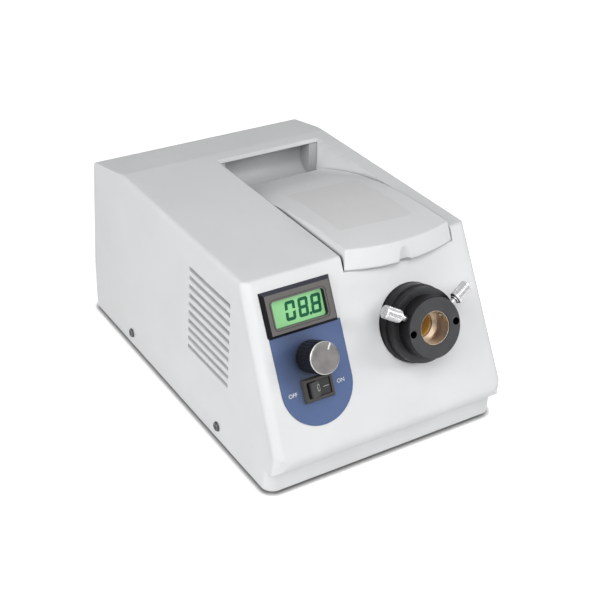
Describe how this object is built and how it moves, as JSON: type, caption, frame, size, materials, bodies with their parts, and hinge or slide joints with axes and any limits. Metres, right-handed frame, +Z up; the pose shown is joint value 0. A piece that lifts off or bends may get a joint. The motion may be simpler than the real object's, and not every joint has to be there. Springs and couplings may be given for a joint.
{
  "type": "fibre-optic cold-light source",
  "caption": "Bench cold-light source: sloped housing with light-guide collar, dimmer knob, rocker switch, display and hinged lamp lid.",
  "frame": {"origin": "middle of the overall box, at the underside of the feet", "axes": "+Z up; the sloping control face looks towards -Y; +X is to the right of a user who faces it"},
  "size_m": [0.1742, 0.2674, 0.1308],
  "materials": {
    "housing": "moulded light grey plastic with a fine satin grain",
    "lid": "moulded light grey plastic with a fine satin grain",
    "grip": "moulded light grey plastic, satin",
    "tray_steel": "grey powder coat on sheet steel",
    "plated_steel": "zinc-plated sheet steel",
    "screw_steel": "bright zinc-plated screw heads",
    "rubber": "black rubber",
    "overlay": "blue-grey printed film, semi-gloss",
    "black_plastic": "black moulded plastic",
    "knob_black": "black moulded plastic with fine ribs",
    "meter_plastic": "dark moulded plastic",
    "display": "back-lit green liquid crystal display under a clear film",
    "spun_aluminium": "spun aluminium",
    "switch_plastic": "black glossy plastic",
    "black_anodised": "black anodised, turned",
    "nickel": "bright nickel plate",
    "chromed": "bright chrome plate, knurled",
    "brass": "turned brass",
    "filter_glass": "heat-absorbing glass",
    "lamp_glass": "dichroic reflector and clear quartz capsule",
    "ceramic": "unglazed steatite",
    "fan_plastic": "black moulded plastic",
    "core_steel": "varnished steel laminations",
    "winding": "amber insulating tape over copper wire",
    "board": "green circuit board",
    "parts": "sleeved capacitors and moulded cases",
    "raw_aluminium": "extruded aluminium"
  },
  "bodies": {
    "housing": {"upper_housing": "housing", "base_tray": "tray_steel", "rear_panel": "tray_steel", "rubber_feet": "rubber", "side_screws": "screw_steel", "lid_hinge_pins": "screw_steel", "handle_pocket": "grip", "front_overlay": "overlay", "meter_case": "meter_plastic", "meter_window": "display", "potentiometer": "plated_steel", "rocker_frame": "switch_plastic", "guide_collar": "black_anodised", "collar_bush": "nickel", "guide_tube": "brass", "collar_screws": "black_anodised", "lamp_bracket": "plated_steel", "heat_filter": "filter_glass", "halogen_lamp": "lamp_glass", "lamp_socket": "ceramic", "lamp_clip": "plated_steel", "fan_frame": "fan_plastic", "fan_guard": "nickel", "fan_screws": "screw_steel", "transformer_core": "core_steel", "transformer_winding": "winding", "transformer_strap": "plated_steel", "control_board": "board", "board_parts": "parts", "heat_sink": "raw_aluminium", "board_pillars": "nickel", "mains_inlet": "black_plastic", "inlet_screws": "screw_steel", "chassis_screws": "screw_steel"},
    "lid": {"lamp_lid": "lid"},
    "knob": {"brightness_knob": "knob_black", "knob_cap": "spun_aluminium", "knob_shaft": "plated_steel"},
    "paddle": {"rocker_paddle": "switch_plastic"},
    "left_thumb_screw": {"thumb_screw_left": "chromed"},
    "right_thumb_screw": {"thumb_screw_right": "chromed"},
    "rotor": {"fan_rotor": "fan_plastic"},
    "drawer": {"fuse_drawer": "black_plastic", "fuse": "filter_glass"}
  },
  "joints": [
    {"name": "lid_hinge", "type": "hinge", "parent": "housing", "child": "lid", "pos_m": [0.027, 0.06124, 0.10281], "axis": [-1, 0, 0], "range_deg": [0, 75]},
    {"name": "brightness_turn", "type": "hinge", "parent": "housing", "child": "knob", "pos_m": [-0.0479, -0.11515, 0.08431], "axis": [0, -0.891, 0.454], "range_deg": [-125, 175]},
    {"name": "power_rocker", "type": "hinge", "parent": "housing", "child": "paddle", "pos_m": [-0.0479, -0.11531, 0.06284], "axis": [0, -0.454, -0.891], "range_deg": [0, 22]},
    {"name": "left_thumb_screw_travel", "type": "slide", "parent": "housing", "child": "left_thumb_screw", "axis": [-0.866, 0.171, 0.4698], "range_m": [-0.0025, 0.004]},
    {"name": "right_thumb_screw_travel", "type": "slide", "parent": "housing", "child": "right_thumb_screw", "axis": [0.866, 0.171, 0.4698], "range_m": [-0.0025, 0.004]},
    {"name": "fan_spin", "type": "hinge", "parent": "housing", "child": "rotor", "pos_m": [0.027, 0.11044, 0.06875], "axis": [0, 1, 0], "continuous": true},
    {"name": "fuse_drawer_pull", "type": "slide", "parent": "housing", "child": "drawer", "axis": [0, 1, 0], "range_m": [0, 0.018]}
  ]
}
